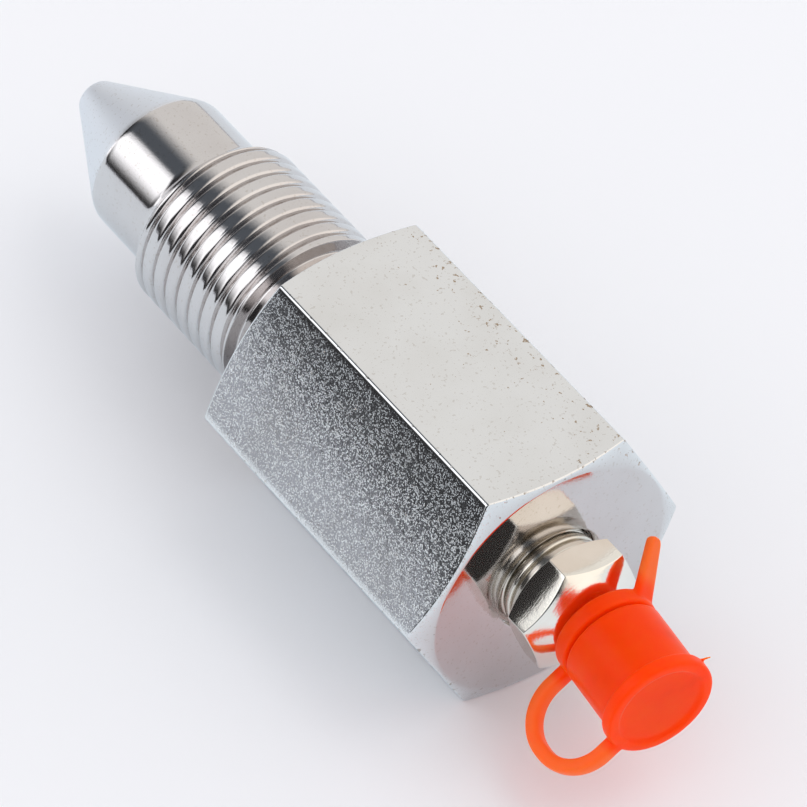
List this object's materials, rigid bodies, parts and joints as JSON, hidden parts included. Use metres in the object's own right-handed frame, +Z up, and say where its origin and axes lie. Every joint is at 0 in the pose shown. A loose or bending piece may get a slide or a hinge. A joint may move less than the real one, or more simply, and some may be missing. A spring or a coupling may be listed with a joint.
{
  "type": "track tensioner grease valve",
  "caption": "Hexagonal grease valve with threaded stem and sealing cone, inner check ball, and a grease nipple under a tethered plastic dust cap with ring, strap and pull tab.",
  "frame": {"origin": "centre of the hexagon flat that the valve rests on", "axes": "+X along the valve's axis, from the sealing cone to the dust cap; +Z up, square to the resting flat; +Y completes a right-handed frame"},
  "size_m": [0.0896, 0.0294, 0.0254],
  "materials": {
    "plated_steel": "bright plated steel, with fine pitting and rust specks on the flats",
    "nickel_steel": "nickel-plated, turned, slightly warm in tone",
    "seat_brass": "plain turned",
    "ball_steel": "polished bearing ball",
    "spring_steel": "drawn wire",
    "orange_plastic": "soft translucent polyethylene moulding"
  },
  "bodies": {
    "fitting": {"valve_body": "plated_steel", "check_seat": "seat_brass", "check_spring": "spring_steel", "nipple_body": "nickel_steel", "nipple_spring": "spring_steel"},
    "check_ball": {"check_ball": "ball_steel"},
    "nipple_ball": {"nipple_ball": "ball_steel"},
    "dust_cap": {"dust_cap": "orange_plastic"}
  },
  "joints": [
    {"name": "check_ball_lift", "type": "slide", "parent": "fitting", "child": "check_ball", "axis": [-1, 0, 0], "range_m": [0, 0.0015], "stiffness_N_per_m": 300, "springref_m": -0.003, "deforming": ["check_spring"]},
    {"name": "nipple_ball_lift", "type": "slide", "parent": "fitting", "child": "nipple_ball", "axis": [-1, 0, 0], "range_m": [0, 0.0012], "stiffness_N_per_m": 150, "springref_m": -0.003, "deforming": ["nipple_spring"]},
    {"name": "dust_cap_pull", "type": "slide", "parent": "fitting", "child": "dust_cap", "axis": [0.9956, -0.0941, 0], "range_m": [0, 0.03]}
  ]
}
